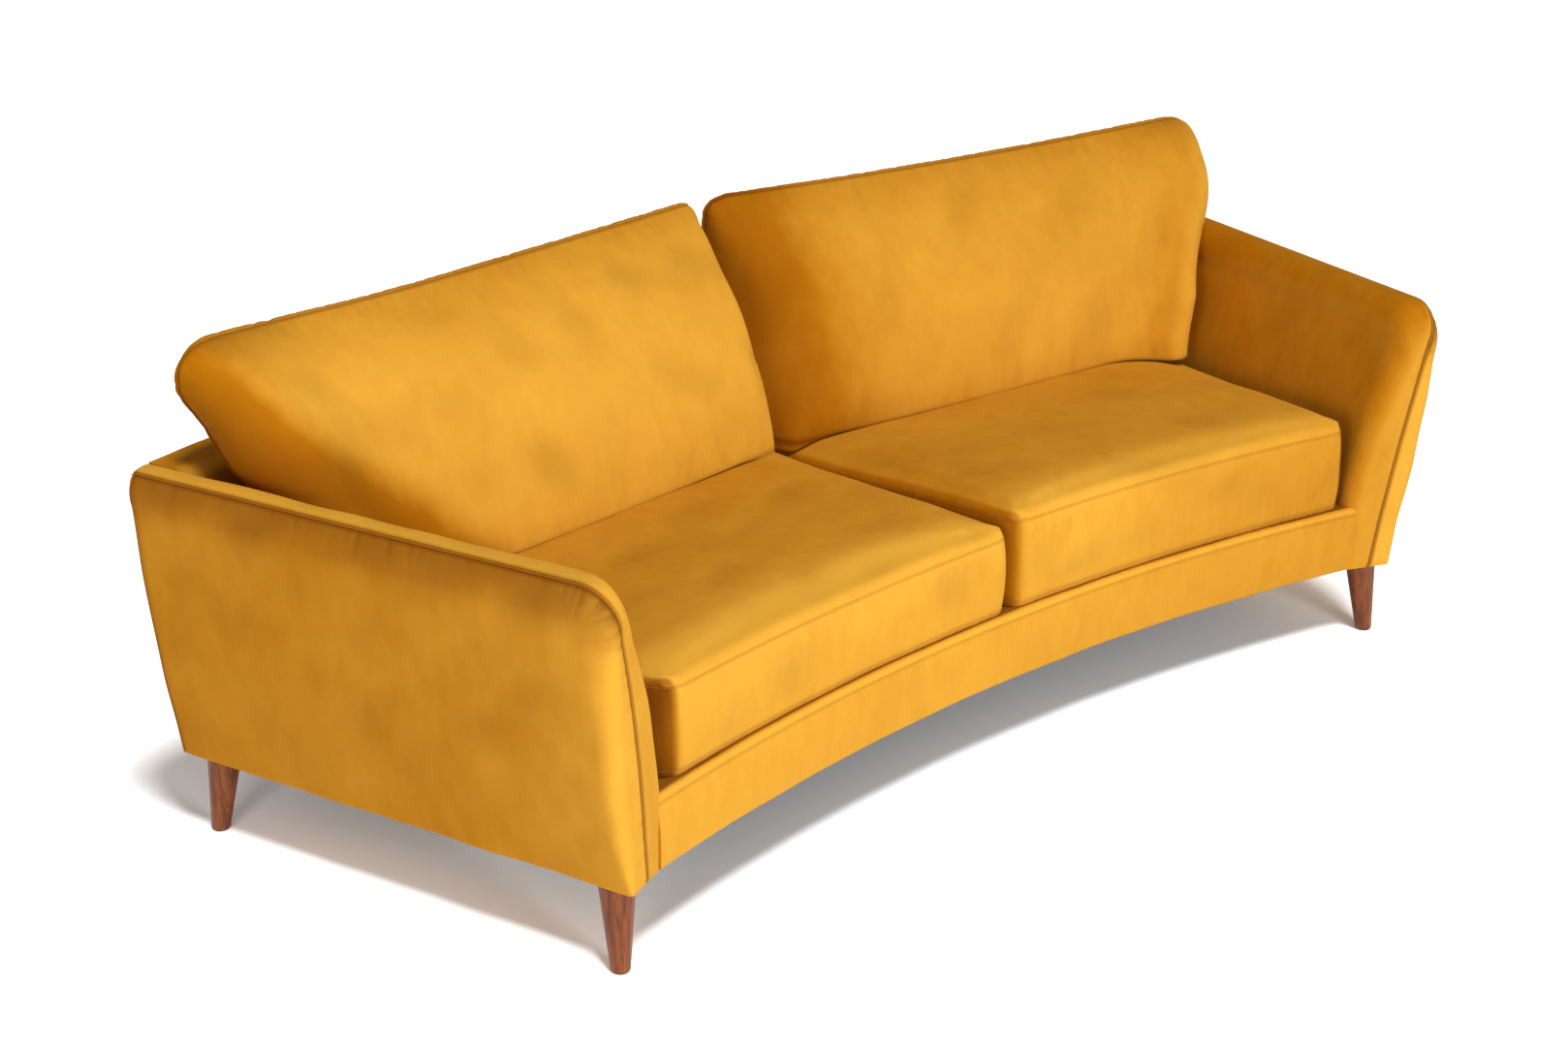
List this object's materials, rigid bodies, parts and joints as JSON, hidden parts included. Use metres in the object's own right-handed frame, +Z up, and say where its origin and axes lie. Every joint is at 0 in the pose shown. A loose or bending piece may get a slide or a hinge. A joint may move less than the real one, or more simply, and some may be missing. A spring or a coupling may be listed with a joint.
{
  "type": "curved sofa with wooden legs",
  "caption": "Curved velvet sofa with flared piped arms, loose boxed seat cushions, loose crowned back cushions and splayed round tapered wooden legs.",
  "frame": {"origin": "on the floor, under the middle of the sofa's box in plan", "axes": "+Z up, +X to the right as seen from the front, the front faces -Y; left means -X"},
  "size_m": [2.536, 1.087, 0.868],
  "materials": {
    "velvet": "matte",
    "stained_wood": "satin",
    "frame_timber": "matte",
    "plywood": "matte",
    "hardboard": "matte",
    "foam": "matte",
    "webbing": "matte",
    "lining_cloth": "matte",
    "steel": "satin",
    "glide_plastic": "matte"
  },
  "bodies": {
    "frame": {"apron_cover": "velvet", "apron_pad": "foam", "arm_board_left": "hardboard", "arm_board_right": "hardboard", "arm_bolts": "steel", "arm_front_post_left": "frame_timber", "arm_front_post_right": "frame_timber", "arm_inner_cover_left": "velvet", "arm_inner_cover_right": "velvet", "arm_outer_cover_left": "velvet", "arm_outer_cover_right": "velvet", "arm_pad_left": "foam", "arm_pad_right": "foam", "arm_piping_left": "velvet", "arm_piping_right": "velvet", "arm_rear_post_left": "frame_timber", "arm_rear_post_right": "frame_timber", "arm_sill_left": "frame_timber", "arm_sill_right": "frame_timber", "arm_top_rail_left": "frame_timber", "arm_top_rail_right": "frame_timber", "back_belts": "webbing", "back_inner_cover": "velvet", "back_outer_cover": "velvet", "back_pad": "foam", "back_rail": "frame_timber", "back_rib_1": "plywood", "back_rib_2": "plywood", "back_rib_3": "plywood", "back_rib_4": "plywood", "back_top_rail": "frame_timber", "base_end_left": "frame_timber", "base_end_right": "frame_timber", "belt_clips": "steel", "centre_stretcher": "frame_timber", "corner_blocks": "frame_timber", "deck_cloth": "lining_cloth", "deck_pad": "foam", "dust_cover": "lining_cloth", "front_leg_left": "stained_wood", "front_leg_right": "stained_wood", "front_rail": "frame_timber", "leg_bolts": "steel", "leg_glides": "glide_plastic", "leg_inserts": "steel", "rear_leg_left": "stained_wood", "rear_leg_right": "stained_wood", "rear_seat_rail": "frame_timber", "seat_belts": "webbing"},
    "back_cushion_left": {"back_cushion_core_left": "foam", "back_cushion_cover_left": "velvet"},
    "back_cushion_right": {"back_cushion_core_right": "foam", "back_cushion_cover_right": "velvet"},
    "seat_cushion_left": {"seat_cushion_core_left": "foam", "seat_cushion_cover_left": "velvet"},
    "seat_cushion_right": {"seat_cushion_core_right": "foam", "seat_cushion_cover_right": "velvet"}
  },
  "joints": [
    {"name": "seat_cushion_left_lift", "type": "slide", "parent": "frame", "child": "seat_cushion_left", "axis": [0, 0, 1], "range_m": [0, 0.45]},
    {"name": "back_cushion_left_lift", "type": "slide", "parent": "seat_cushion_left", "child": "back_cushion_left", "axis": [0, 0, 1], "range_m": [0, 0.3]},
    {"name": "seat_cushion_right_lift", "type": "slide", "parent": "frame", "child": "seat_cushion_right", "axis": [0, 0, 1], "range_m": [0, 0.45]},
    {"name": "back_cushion_right_lift", "type": "slide", "parent": "seat_cushion_right", "child": "back_cushion_right", "axis": [0, 0, 1], "range_m": [0, 0.3]}
  ]
}
